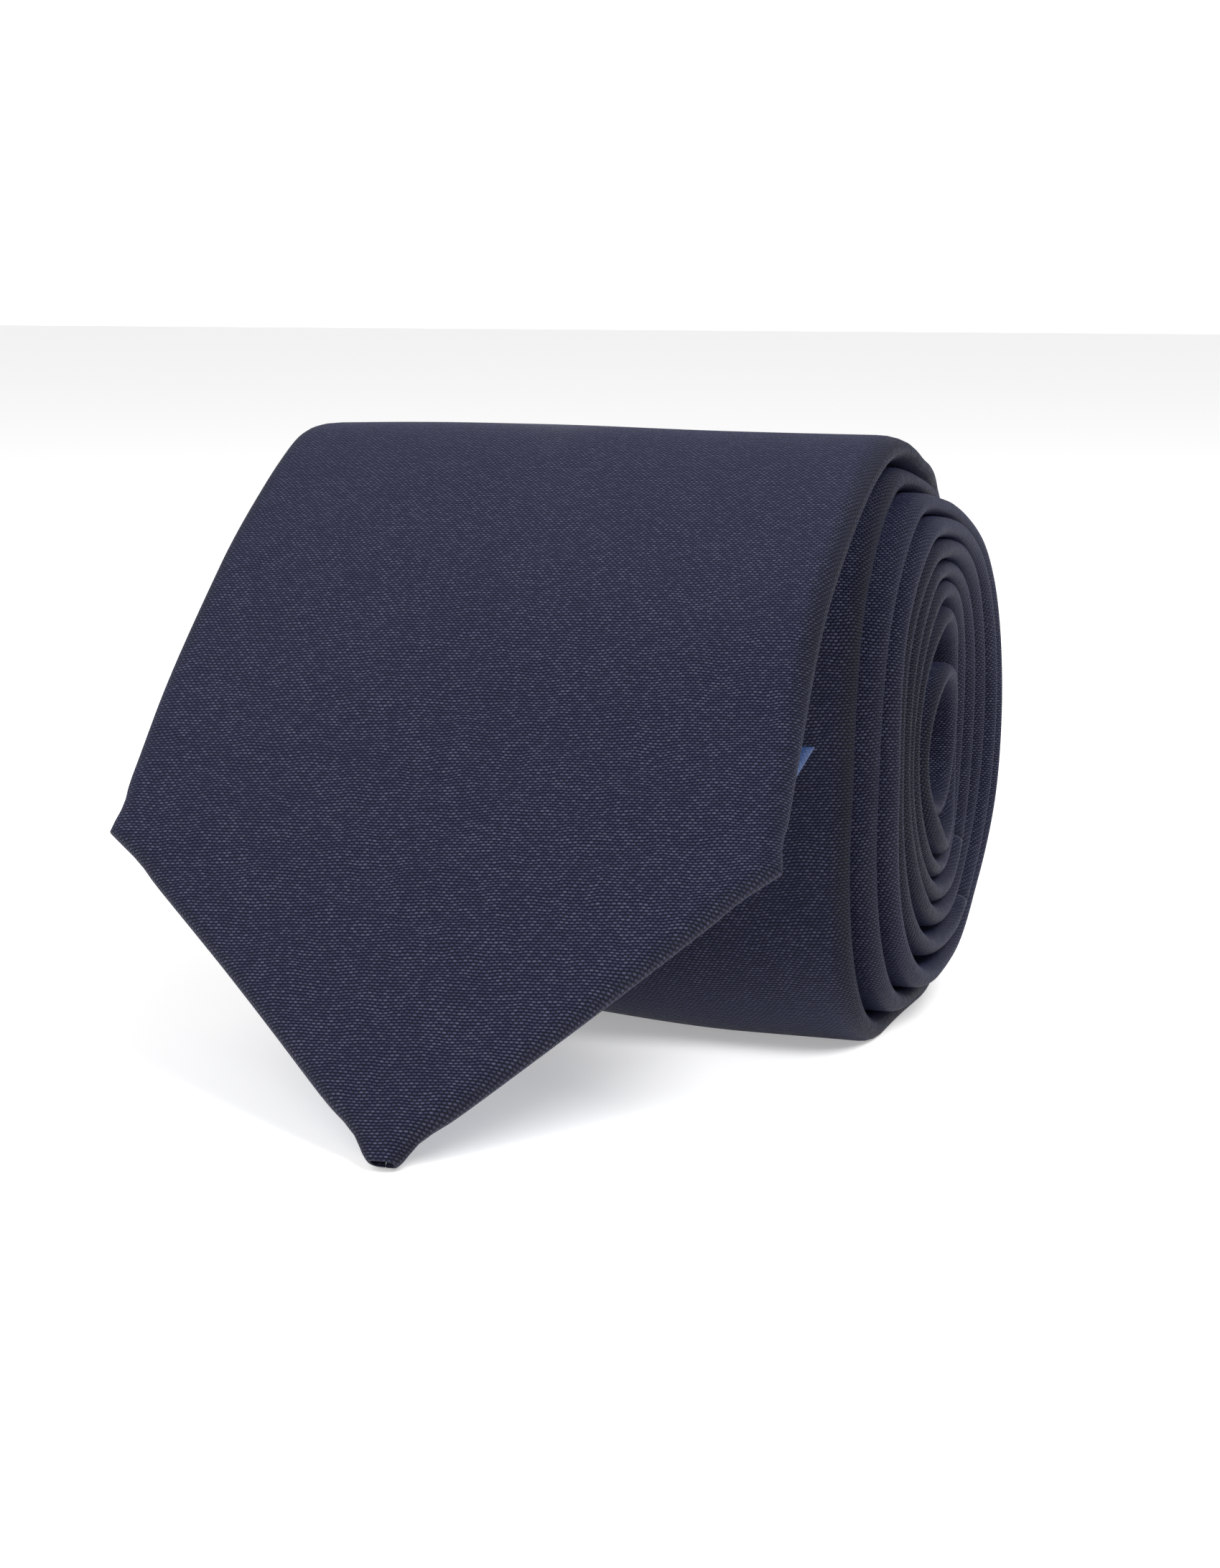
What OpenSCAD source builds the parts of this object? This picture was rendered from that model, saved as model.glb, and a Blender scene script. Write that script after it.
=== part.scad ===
// A necktie, rolled up from its tail, with the wide blade outermost. The roll lies on its
// side along X, and the blade's free end leans from the roll's crown down to the floor.
// Y runs from the front (-) to the back (+), Z is up, and the floor is z = 0.

/* [Blade] */
// Width of the blade across its shoulders
blade_w = 84; // [78:0.5:90]
// Length of the blade's point, from its shoulders to its tip
point_len = 39.4; // [38:0.1:43]
// Narrowing of the tie per millimetre of length, near the point
slow_taper = 0.003; // [0:0.001:0.03]
// Length from the tip over which the tie narrows slowly
slow_len = 160; // [120:5:200]
// Narrowing of the tie per millimetre of length, further on
taper = 0.064; // [0.05:0.001:0.07]
// Slope of the blade's point, from the floor
point_slope = 52.3; // [50:0.1:55]
// Distance from the crown to the crest that the free end falls from
crest_u = 15.5; // [14:0.5:17]
// How far the tip lies to the right of the middle
tip_x = 2.3; // [0:0.1:3]

/* [Neck and tail] */
// Width of the neck
neck_w = 38; // [34:0.5:42]
// Width of the tail across its shoulders
tail_w = 46; // [42:0.5:50]
// Length of the tail's point
tail_point_len = 24; // [20:1:28]
// Length over which the tail widens
tail_flare = 300; // [200:10:400]

/* [Cloth] */
// Thickness of the folded tie
thick = 2.5; // [2.2:0.05:2.6]
// Thickness of the shell's cloth
cloth = 0.4; // [0.35:0.05:0.45]
// Thickness of the interlining
wool = 1.2; // [0.8:0.1:1.3]
// Thickness of the linings and the tape
lining = 0.3; // [0.2:0.05:0.35]
// Thickness of the sewing thread
thread = 0.4; // [0.3:0.05:0.45]

/* [Roll] */
// Height of the roll's centre line
centre_z = 38.2; // [38:0.1:38.6]
// Radius of the tie's mid-surface at the crown
crown_r = 40.1; // [39.5:0.1:40.5]
// Fall in radius over the first lap
first_pitch = 4.5; // [4.2:0.1:4.8]
// Fall in radius over each later lap
pitch = 3.13; // [3.05:0.01:3.2]
// Slump of the outer laps towards the front and the floor
slump = 6; // [3:0.5:6]
// Number of laps that the slump reaches through
slump_laps = 4; // [3:1:6]
// Shift of the front of the inner laps, towards the free end
forward = 1.5; // [0:0.1:1.6]
// Number of laps at the end of the tail
laps = 9.4; // [9:0.1:9.6]
// Lap after which the tail's laps close in faster
core_lap = 7.6; // [7:0.1:8]
// How much faster they close in
core_squeeze = 1.2; // [0.6:0.1:1.3]

/* [Roll's end] */
// Where the right edge of the tie lies at the crown
edge_x = 41.7; // [40:0.1:43]
// How far the inner laps stand out past the outer lap
edge_step = 4.9; // [2:0.1:5]
// How far each inner lap is drawn in at the back
back_draw = 1; // [0:0.1:1.2]

/* [Joints between pieces] */
// Distance from the crest to the line on which the free end lifts
lift_line = 10; // [8:0.5:12]
// Clearance where two pieces meet end to end
meet_gap = 0.3; // [0.2:0.05:0.4]
// Lap at which the blade meets the neck
neck_lap = 3.44; // [3.3:0.01:3.6]
// Lap at which the neck meets the tail
tail_lap = 5.4; // [5.2:0.05:5.6]
// Lap at which the two interlinings meet
wool_lap = 3.8; // [3.7:0.05:4]

/* [Hidden] */

satin = [0.10, 0.12, 0.27];
wool_white = [0.85, 0.83, 0.77];
lining_blue = [0.20, 0.32, 0.66];
thread_blue = [0.25, 0.30, 0.55];
tape_white = [0.82, 0.83, 0.86];

half = thick / 2;
steps = 24;                 // stations in a lap
tip_w = 5;                  // width left at the very end of a point
slit = 0.6;                 // half the gap between the back folds, where they meet
hem = 9;                    // width of the hem round the lining of a point
on_back = half + 0.1;       // where a piece laid on the back of the tie starts
thread_lift = 0.2;          // clearance under a stitch

// How far the first lap stands out from an even spiral, by the angle from the crown: it is
// pressed in at the top and low on the back, and full at the top of the front
swell = [[0, -2.3], [14, -2.9], [26, -2.6], [42, -0.9], [60, 0], [114, 0], [130, -1.6],
         [146, -2.6], [168, -0.3], [185, 0], [255, 0], [270, -0.6], [284, 0.8], [300, 3.2],
         [318, 3.3], [336, 2.8], [350, -0.6], [360, -2.3]];
swell_fade = 0.18;          // share of the swell lost in each later lap

// Slope of the free end, by the distance past its crest: less than 0 on the roll's side
ramp = [[-9, -18], [-8, -12], [0, 2], [6, 20], [18, 29], [31, 35.5], [44, 47],
        [56, point_slope]];
free_step = 0.25;
crown_z = centre_z + lap_r(0) + swell_r(0);
tip_z = half * cos(point_slope);

function slope_at(u) = lookup(u - crest_u, ramp);

// The free end, as points at even distances u back from the crown along the mid-surface
free_path = [for (u = 0, p = [0, crown_z]; p[1] > tip_z;
                  p = p - free_step * [cos(slope_at(u)), sin(slope_at(u))], u = u + free_step) p];
tip_u = (len(free_path) - 1.01) * free_step;
shoulder_u = tip_u - point_len;
split_u = crest_u + lift_line;
lining_u = shoulder_u - 17;         // upper edge of the blade's lining
tack_u = shoulder_u - 48;           // where the back folds of the blade meet

function smooth(a, b, x) = let (k = min(max((x - a) / (b - a), 0), 1)) k * k * (3 - 2 * k);

// Radius of the mid-surface after t laps from the crown: round the back, under and up the front
function lap_r(t) =
    crown_r - first_pitch * min(t, 1) - pitch * max(t - 1, 0)
    - core_squeeze * pow(max(t - core_lap, 0), 1.5);

// The slump pushes the front lower quarter of the outer laps out
function slump_r(t) =
    let (a = 360 * (t - floor(t)), k = max(0, 1 - (t - 0.6) / slump_laps))
    (a > 180 && a < 270) ? slump * k * pow(sin(2 * a), 2) : 0;

// The swell of the first lap, which fades inwards
function swell_r(t) =
    let (fade = t < 1 ? 1 + 0.6 * (1 - t) : max(0, 1 - swell_fade * (t - 1)))
    fade * lookup(360 * (t - floor(t)), swell);

// Length of tie from the tip of the blade to lap t
function lap_len(t) =
    t <= 1 ? 2 * PI * t * (crown_r - first_pitch * t / 2)
           : lap_len(1) + 2 * PI * (t - 1) * (crown_r - first_pitch - pitch * (t - 1) / 2);
total_len = tip_u + lap_len(laps);

// Width of the tie at a distance s from the blade's tip
function tie_w(s) =
    let (rest = total_len - s)
    s < point_len ? tip_w + (blade_w - tip_w) * s / point_len
    : rest < tail_point_len ? tip_w + (tail_w - tip_w) * rest / tail_point_len
    : max(blade_w - slow_taper * (s - point_len) - (taper - slow_taper) * max(s - slow_len, 0),
          neck_w
          + (tail_w - neck_w) * max(0, 1 - (rest - tail_point_len) / tail_flare));

// Where the right edge of the full tie lies at lap t
function right_x(t) =
    let (a = 360 * t)
    edge_x + edge_step * smooth(0.5, 2.6, t)
    - back_draw * max(t - 3, 0) * pow((1 + sin(a)) / 2, 2);

// A station is [y, z, outward normal y, z, left x, right x, length s, half the back opening]
function roll_station(t) =
    let (a = 360 * t, r = lap_r(t) + slump_r(t) + swell_r(t),
         y = r * sin(a) - forward * smooth(0.3, 0.7, t) * pow((1 - sin(a)) / 2, 2),
         s = tip_u + lap_len(t), w = tie_w(s),
         rest = total_len - s,
         full = rest < tail_point_len ? tail_w : w,
         mid = right_x(t) - full / 2,
         flat = t < 1 && centre_z + r * cos(a) < half,
         back = rest < tail_point_len + 12 ? max(slit, w / 2 - hem * 0.7) : slit)
    [y, flat ? half : centre_z + r * cos(a), flat ? 0 : sin(a), flat ? -1 : cos(a),
     mid - w / 2, mid + w / 2, s, min(back, w / 2 - 1.9)];

function free_station(u) =
    let (i = floor(u / free_step), k = u / free_step - i, slope = slope_at(u),
         p = (1 - k) * free_path[i] + k * free_path[i + 1],
         s = tip_u - u, w = tie_w(s),
         right = u > shoulder_u ? w / 2 + tip_x * (u - shoulder_u) / point_len
                 : edge_x + (blade_w / 2 - edge_x) * u / shoulder_u,
         open = smooth(tack_u, lining_u, u) * (w / 2 - hem))
    [p[0], p[1], -sin(slope), cos(slope), right - w, right, s,
     min(max(slit, open), w / 2 - 1.9)];

// Stations between two places, always with those of the whole steps of the roll
function lap_list(a, b) =
    concat([a], [for (i = [0 : ceil(laps) * steps]) let (t = (i + 0.5) / steps)
                 if (t > a + 0.01 && t < b - 0.01) t], [b]);
function roll_part(a, b) = [for (t = lap_list(a, b)) roll_station(t)];

free_stops = [tip_u, tip_u - 4, shoulder_u + 12, shoulder_u + 2, shoulder_u - 2, lining_u,
              (lining_u + tack_u) / 2, tack_u, (2 * tack_u + split_u) / 3,
              (tack_u + 2 * split_u) / 3];
function free_part(a, b) =
    [for (u = concat([a], [for (v = free_stops) if (v < a - 0.5 && v > b + 0.5) v], [b]))
     free_station(u)];
crown_part = [for (u = [split_u - meet_gap, crest_u + 5, crest_u, crest_u - 4, crest_u - 8, 0.5])
              free_station(u)];

// A point at (x, v): v is measured from the mid-surface along the outward normal
function at(p, x, v) = [x, p[0] + v * p[2], p[1] + v * p[3]];

// The folded tube of the shell, open along the middle of its back
function shell_ring(p) =
    let (l = p[4], r = p[5], c = (l + r) / 2, o = p[7], e = min(half, (r - l) / 4),
         i = half - cloth,
         loop = [[c + o, -half], [r - e, -half], [r, 0], [r - e, half],
                 [l + e, half], [l, 0], [l + e, -half], [c - o, -half],
                 [c - o, -i], [l + e, -i], [l + cloth, 0], [l + e, i],
                 [r - e, i], [r - cloth, 0], [r - e, -i], [c + o, -i]])
    [for (q = loop) at(p, q[0], q[1])];

// A strip from x0 to x1 and from v0 to v1
function strip_ring(p, x0, x1, v0, v1) =
    [at(p, x0, v0), at(p, x1, v0), at(p, x1, v1), at(p, x0, v1)];

module sweep(rings) {
    n = len(rings[0]);
    m = len(rings);
    half_n = n / 2;
    sides = [for (i = [0 : m - 2]) for (j = [0 : n - 1])
             let (a = i * n + j, b = i * n + (j + 1) % n)
             for (f = [[a, b, b + n], [a, b + n, a + n]]) f];
    first = [for (j = [0 : half_n - 2])
             for (f = [[j, n - 1 - j, n - 2 - j], [j, n - 2 - j, j + 1]]) f];
    last = [for (f = first) [for (k = [2 : -1 : 0]) f[k] + (m - 1) * n]];
    polyhedron([for (r = rings) for (p = r) p], concat(first, sides, last));
}

module shell(stations) {
    sweep([for (p = stations) shell_ring(p)]);
}

// The interlining fills the tube to just inside its folds
module filling(stations) {
    inset = 1.7;
    sweep([for (p = stations) strip_ring(p, p[4] + inset, p[5] - inset, -wool / 2, wool / 2)]);
}

// A thread that runs in the opening along the middle of the back
module back_thread(stations) {
    sweep([for (p = stations) let (c = (p[4] + p[5]) / 2)
           strip_ring(p, c - thread / 2, c + thread / 2, -half, -half + thread)]);
}

// A lining laid on the back, drawn in from both folds
module back_lining(stations, draw_in) {
    sweep([for (p = stations)
           strip_ring(p, p[4] + draw_in, p[5] - draw_in, -on_back - lining, -on_back)]);
}

// A small block on the back of the tie, from x0 to x1
module back_block(stations, x0, x1, start, deep) {
    sweep([for (p = stations) strip_ring(p, x0, x1, -start - deep, -start)]);
}

module blade_shell_roll() {
    color(satin) shell(concat(crown_part, roll_part(0.01, neck_lap - 0.002)));
}

module neck_shell() {
    color(satin) shell(roll_part(neck_lap + 0.005, tail_lap - 0.003));
}

module tail_shell() {
    color(satin) shell(roll_part(tail_lap + 0.006, laps));
}

module blade_interlining_roll() {
    color(wool_white) filling(concat(crown_part, roll_part(0.01, wool_lap)));
}

module tail_interlining() {
    color(wool_white) filling(roll_part(wool_lap + 0.01, laps - 0.3));
}

module interlining_seam() {
    color(thread_blue) filling(roll_part(wool_lap + 0.003, wool_lap + 0.007));
}

module blade_neck_seam() {
    color(thread_blue) shell([for (t = [neck_lap, neck_lap + 0.003]) roll_station(t)]);
}

module neck_tail_seam() {
    color(thread_blue) shell([for (t = [tail_lap, tail_lap + 0.003]) roll_station(t)]);
}

module slip_stitch_roll() {
    color(thread_blue) back_thread(concat(crown_part, roll_part(0.01, laps - 0.9)));
}

loop_lap = 0.29;            // the lap at which the keeper loop is sewn
loop_turn = 0.025;          // half its width, in laps
loop_inset = 11;            // how far its ends stay in from the folds
loop_deep = 0.8;
loop_start = half + 0.35;

module keeper_loop() {
    stations = roll_part(loop_lap - loop_turn, loop_lap + loop_turn);
    color(satin) sweep([for (p = stations)
        strip_ring(p, p[4] + loop_inset, p[5] - loop_inset, -loop_start - loop_deep, -loop_start)]);
}

module keeper_loop_tacks() {
    stations = roll_part(loop_lap - loop_turn * 0.8, loop_lap + loop_turn * 0.8);
    l = stations[1][4] + loop_inset;
    r = stations[1][5] - loop_inset;
    color(thread_blue) {
        back_block(stations, l - 2.8, l - 1, on_back, loop_deep);
        back_block(stations, r + 1, r + 2.8, on_back, loop_deep);
    }
}

module care_label() {
    color(tape_white) back_block(roll_part(3.5 / steps, 5.5 / steps), -14, 8, on_back, lining);
}

module tail_tipping() {
    color(lining_blue) back_lining(roll_part(laps - 0.55, laps - 0.08), 2.5);
}

module tail_bar_tack() {
    lap = laps - 0.75;
    mid = (roll_station(lap)[4] + roll_station(lap)[5]) / 2;
    color(thread_blue)
        back_block(roll_part(lap - 0.01, lap + 0.01), mid - 3, mid + 3, on_back, lining);
}

module blade_shell_end() {
    color(satin) shell(free_part(tip_u, split_u));
}

module blade_interlining_end() {
    color(wool_white) filling(free_part(tip_u - 4, split_u));
}

// The lining of the blade's point, with its loose upper corner on the right
module blade_tipping() {
    draw_in = 2.2;
    corner_w = 5;
    corner_lift = 5.5;
    corner = [free_station(lining_u + 9), free_station(lining_u)];
    color(lining_blue) {
        back_lining(free_part(tip_u - 4, lining_u + 9.3), draw_in);
        sweep([for (p = free_part(lining_u + 9, lining_u))
               strip_ring(p, p[4] + draw_in, p[5] - draw_in - corner_w - 0.3,
                          -on_back - lining, -on_back)]);
        sweep([for (i = [0, 1]) let (p = corner[i], v = -on_back - corner_lift * i)
               strip_ring(p, p[5] - draw_in - corner_w, p[5] - draw_in + i * 1.5,
                          v - lining, v)]);
    }
}

// Short stitches along both folds and both edges of the point
module tipping_stitches() {
    stitch = 1.6;
    from_fold = 3.4;
    rows = [for (u = [lining_u + 11 : 3 : tip_u - 7]) u];
    start = on_back + lining + thread_lift;
    color(thread_blue) for (u = rows) {
        stations = [free_station(u + stitch), free_station(u)];
        l = max(stations[0][4], stations[1][4]) + from_fold;
        r = min(stations[0][5], stations[1][5]) - from_fold;
        back_block(stations, l, l + thread, start, thread / 2);
        back_block(stations, r - thread, r, start, thread / 2);
    }
}

module blade_bar_tack() {
    mid = (free_station(tack_u)[4] + free_station(tack_u)[5]) / 2;
    stations = [free_station(tack_u + 0.8), free_station(tack_u - 0.8)];
    color(thread_blue) back_block(stations, mid - 4, mid + 4, on_back, thread);
}

module slip_stitch_end() {
    color(thread_blue) back_thread(free_part(tack_u - 1.5, split_u));
}

blade_shell_roll();
neck_shell();
tail_shell();
blade_interlining_roll();
tail_interlining();
interlining_seam();
blade_neck_seam();
neck_tail_seam();
slip_stitch_roll();
keeper_loop();
keeper_loop_tacks();
care_label();
tail_tipping();
tail_bar_tack();
blade_shell_end();
blade_interlining_end();
blade_tipping();
tipping_stitches();
blade_bar_tack();
slip_stitch_end();
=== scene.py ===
import math
import bpy
import numpy as np
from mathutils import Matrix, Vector, noise


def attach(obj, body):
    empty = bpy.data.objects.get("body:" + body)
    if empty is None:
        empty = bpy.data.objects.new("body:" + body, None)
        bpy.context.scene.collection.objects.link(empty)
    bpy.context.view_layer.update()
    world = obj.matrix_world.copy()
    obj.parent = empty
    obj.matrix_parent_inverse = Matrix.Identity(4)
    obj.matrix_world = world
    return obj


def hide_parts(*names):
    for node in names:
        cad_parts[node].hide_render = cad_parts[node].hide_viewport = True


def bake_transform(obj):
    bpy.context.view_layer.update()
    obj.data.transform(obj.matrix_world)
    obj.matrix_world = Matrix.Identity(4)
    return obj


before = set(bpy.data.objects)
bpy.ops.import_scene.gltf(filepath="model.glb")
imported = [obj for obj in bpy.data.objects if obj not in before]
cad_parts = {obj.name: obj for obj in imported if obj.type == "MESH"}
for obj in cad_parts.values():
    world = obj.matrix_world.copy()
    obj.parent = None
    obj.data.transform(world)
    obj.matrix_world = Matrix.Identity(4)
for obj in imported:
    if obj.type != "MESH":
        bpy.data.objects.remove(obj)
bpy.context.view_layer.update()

# A rolled necktie. Lengths are millimetres until a mesh is made, in the frame of the CAD model:
# X along the roll, -Y towards the blade's free end, Z up, the floor at z = 0.
MM = 0.001

# ---------------------------------------------------------------- sizes of the tie
BLADE_W = 84.0            # width at the blade's shoulders
POINT_LEN = 39.4          # from the blade's tip to its shoulders
EVEN_LEN = 160.0          # length over which the blade keeps its width
TAPER = 0.064             # width lost for each mm of length after that
NECK_W = 38.0
TAIL_W = 46.0
TAIL_POINT = 24.0         # from the tail's tip to its shoulders
TAIL_FLARE = 300.0        # length over which the tail widens from the neck
END_W = 2.4               # width left at the very end of a point
CLOTH = 0.4
WOOL_H = 0.55             # half the thickness of the interlining
LINING = 0.3
HEM = 9.0                 # cloth turned in beside the linings
SLIT = 0.35               # half the gap where the folds meet on the back
FOLD_H = 1.8              # half the thickness of the blade's free end
ON_BACK = 0.12            # clearance under what lies on the back of the tie
SEAM = 0.3                # width of the seams between blade, neck and tail

LINING_FROM = 7.0         # the blade's lining starts here, counted from the tip
LINING_END = POINT_LEN + 21.3
LINING_IN = 2.3           # how far the lining stays inside the blade's edges
TAB_W = 7.0               # the loose upper corner of the lining
TAB_LEN = 12.0
TAB_LIFT = 5.5            # how far its end stands off the back
TAB_LEAN = 0.28           # how far it leans outwards for each mm of lift
TACK_AT = POINT_LEN + 48  # the blade's bar tack, counted from the tip

LOOP_LAP = 0.29           # place of the keeper loop, in laps from the crown
LOOP_HALF = 6.0           # half its width along the tie
LOOP_IN = 11.0            # how far it ends inside the tie's edges
LABEL_X = (-14.0, 8.0)
LABEL_LAPS = (3.5 / 24, 5.5 / 24)

# ---------------------------------------------------------------- sizes of the roll
CREST = (-15.0, 77.6)     # (y, z) where the free end starts to fall
TIP_Z = 1.2               # height of the middle of the cloth at the blade's tip
BOTTOM_Z = 1.25           # lowest height of the middle of the cloth in the roll
CENTRE_Z = 38.2           # height of the roll's axis
CROWN_R = 40.1            # from the axis to the crown
FIRST_PITCH = 4.5         # how much closer the first lap comes in one turn
PITCH = 3.13              # the same for each later lap
SWELL_FADE = 0.18         # part of the first lap's swell that is lost in each later lap
BOTTOM_PRESS = 1.3        # how far the laps above the floor are pressed towards it
FORWARD = 1.5             # shift of the inner laps' front towards the free end
SLUMP = 6.0               # sag of the lower front, largest in the outer laps
SLUMP_LAPS = 4.0          # laps through which the sag dies out
CORE_TURN = 7.0           # lap at which the loose core starts
LAPS = 9.4
EDGE_X = 41.7             # x of the outer lap's right edge
EDGE_STEP = 4.9           # how far the inner laps stand out past it
BACK_DRAW = 1.0           # how much each inner lap is drawn in at the roll's back
TIP_X = 2.3               # x of the blade's tip
NECK_LAP = 3.44           # laps from the crown to the start of the neck, of the tail
TAIL_LAP = 5.4
WOOL_LAP = 3.8            # and of the tail's interlining

# Angle from the crown, in degrees, and how far the first lap stands out from a plain spiral there
SWELL = [(0, -2.3), (14, -2.9), (26, -2.6), (42, -0.9), (60, 0), (114, 0), (130, -1.6), (146, -2.6),
         (168, -0.3), (185, 0), (255, 0), (270, -0.6), (284, 0.8), (300, 3.2), (318, 3.3), (336, 2.8),
         (350, -0.6), (360, -2.3)]

# Lap, how far the right edge stands out there, and over how much of a lap
EDGE_BUMPS = [(0.125, -3.2, 0.075), (1.08, -1.3, 0.08), (2.05, -0.5, 0.08), (2.17, 0.3, 0.10),
              (7.62, 0.6, 0.10)]

# The free end's slope in degrees at a distance from its crest, less than 0 on the roll's side
RAMP = [(-16, -15), (-8, -12), (0, 2), (6, 20), (18, 29), (31, 35.5), (44, 47), (56, 52.3)]

# The loose laps in the middle, as (y, z) at each eighth of a turn from CORE_TURN
CORE = [(0, 54.2), (11.3, 49.6), (15.9, 38.4), (10.8, 27.6), (1.0, 22.6), (-8.0, 26.6), (-13.6, 34.6),
        (-10.4, 42.6), (-1.5, 46.8), (7.6, 44.4), (12.3, 37.6), (9.6, 30.6), (2.6, 26.9), (-4.2, 29.4),
        (-8.2, 35.0), (-5.2, 40.4), (0.8, 42.9), (6.6, 41.2), (8.2, 36.6), (4.2, 33.2), (1.4, 35.6)]


def smooth(a, b, x):
    k = np.clip((np.asarray(x, float) - a) / (b - a), 0, 1)
    return k * k * (3 - 2 * k)


# ---------------------------------------------------------------- the tie's path
def lap_radius(t):
    """Distance of the cloth from the axis after t laps from the crown."""
    r = CROWN_R - FIRST_PITCH * min(t, 1) - PITCH * max(t - 1, 0)
    a = 360 * (t % 1)
    if 180 < a < 270:
        r += SLUMP * max(0, 1 - (t - 0.6) / SLUMP_LAPS) * math.sin(math.radians(2 * a)) ** 2
    fade = 1 + 0.6 * (1 - t) if t < 1 else max(0, 1 - SWELL_FADE * (t - 1))
    swell = fade * np.interp(a, [k[0] for k in SWELL], [k[1] for k in SWELL])
    press = BOTTOM_PRESS * math.exp(-((t - 2.4) / 1.3) ** 2 - ((a - 197) / 16) ** 2)
    return r + swell + press


def spiral_point(t):
    a = 2 * math.pi * t
    r = lap_radius(t)
    forward = FORWARD * smooth(0.3, 0.7, t) * ((1 - math.sin(a)) / 2) ** 2
    return r * math.sin(a) - forward, CENTRE_Z + r * math.cos(a)


def core_point(t):
    """A curve through the points of the core."""
    x = (t - CORE_TURN) * 8
    i = min(int(x), len(CORE) - 2)
    k = x - i
    p = [np.array(CORE[min(max(j, 0), len(CORE) - 1)]) for j in (i - 1, i, i + 1, i + 2)]
    return 0.5 * (2 * p[1] + (p[2] - p[0]) * k + (2 * p[0] - 5 * p[1] + 4 * p[2] - p[3]) * k ** 2
                  + (3 * p[1] - p[0] - 3 * p[2] + p[3]) * k ** 3)


def roll_point(t):
    if t < CORE_TURN - 0.15:
        return spiral_point(t)
    blend = smooth(CORE_TURN - 0.15, CORE_TURN + 0.15, t)
    outer = np.array(spiral_point(min(t, CORE_TURN + 0.2)))
    inner = core_point(max(t, CORE_TURN))
    return tuple(outer * (1 - blend) + inner * blend)


def free_points(step=0.25):
    """The free end, from the blade's tip up the ramp and over the crest to the roll's first lap."""
    def slope(u):
        return math.radians(np.interp(u, [k[0] for k in RAMP], [k[1] for k in RAMP]))

    start = np.array(roll_point(0))
    fall = [np.array(CREST)]
    u = 0.0
    while fall[-1][1] > TIP_Z:
        fall.append(fall[-1] - step * np.array([math.cos(slope(u)), math.sin(slope(u))]))
        u += step
    rise = [np.array(CREST)]
    u = 0.0
    while rise[-1][0] < -6:
        rise.append(rise[-1] + step * np.array([math.cos(slope(u)), math.sin(slope(u))]))
        u -= step
    count = int(np.linalg.norm(rise[-1] - start) / step)
    join = [rise[-1] + (start - rise[-1]) * k / count for k in range(1, count)]
    return [tuple(p) for p in fall[::-1] + rise[1:] + join]


def soften(values, sigma, step):
    """Averages each value with its neighbours along the path, keeping the ends in place."""
    reach = int(3 * sigma / step)
    weight = np.exp(-0.5 * (np.arange(-reach, reach + 1) * step / sigma) ** 2)
    weight /= weight.sum()
    ahead = 2 * values[:1] - values[reach:0:-1]
    after = 2 * values[-1:] - values[-2:-reach - 2:-1]
    padded = np.concatenate([ahead, values, after])
    return np.stack([np.convolve(padded[:, k], weight, "valid") for k in range(values.shape[1])], 1)


def make_path(step=0.25):
    free = free_points(step)
    laps = np.arange(0, LAPS, 1 / 720)
    roll = np.array([roll_point(t) for t in laps])
    roll[:, 1] = np.maximum(roll[:, 1], BOTTOM_Z)
    points = np.concatenate([np.array(free), roll])
    turn = np.concatenate([np.linspace(-1, 0, len(free), endpoint=False), laps])
    length = np.concatenate([[0], np.cumsum(np.linalg.norm(np.diff(points, axis=0), axis=1))])
    even = np.arange(0, length[-1], step)
    points = np.stack([np.interp(even, length, points[:, k]) for k in (0, 1)], 1)
    return even, soften(points, 2.2, step), np.interp(even, length, turn)


PATH_S, PATH_P, PATH_T = make_path()
TOTAL = PATH_S[-1]
CROWN_S = float(np.interp(0, PATH_T, PATH_S))
PATH_D = np.gradient(PATH_P, axis=0)
PATH_D /= np.linalg.norm(PATH_D, axis=1)[:, None]


def length_at(turn):
    return float(np.interp(turn, PATH_T, PATH_S))


def lap_room():
    """Half the distance from each place on the roll to the next lap in or out."""
    pick = slice(None, None, 4)
    p, t = PATH_P[pick], PATH_T[pick]
    gap = np.linalg.norm(p[:, None] - p[None], axis=2)
    apart = np.abs(t[:, None] - t[None])
    gap[(apart < 0.6) | (t[None] < -0.2) & (t[:, None] > 0.6)] = 99
    room = soften(np.minimum(gap.min(1), 8)[:, None] / 2, 3, 1)[:, 0]
    return np.interp(PATH_S, PATH_S[pick], room)


ROOM = lap_room()


def half_thickness(s, turn):
    """Thinner towards the core and both tips, and never more than the laps have room for."""
    loose = FOLD_H - 0.25 * smooth(0.2, 2, turn) - 0.25 * smooth(5, 7, turn)
    h = np.minimum(loose, 0.97 * np.interp(s, PATH_S, ROOM))
    leaf_in_core = 0.5 * np.exp(-((turn - 7.62) / 0.07) ** 2)
    h = np.where(turn < -0.3, FOLD_H, h) + leaf_in_core
    return h * (0.7 + 0.3 * smooth(0, 6, s)) * (0.8 + 0.2 * smooth(0, 6, TOTAL - s))


def tie_width(s):
    rest = TOTAL - s
    body = BLADE_W - TAPER * np.maximum(s - EVEN_LEN, 0)
    flare = NECK_W + (TAIL_W - NECK_W) * np.clip(1 - (rest - TAIL_POINT) / TAIL_FLARE, 0, 1)
    point = END_W + (BLADE_W - END_W) * s / POINT_LEN
    tail = END_W + (TAIL_W - END_W) * rest / TAIL_POINT
    return np.minimum(np.minimum(np.maximum(body, flare), point), tail)


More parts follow.
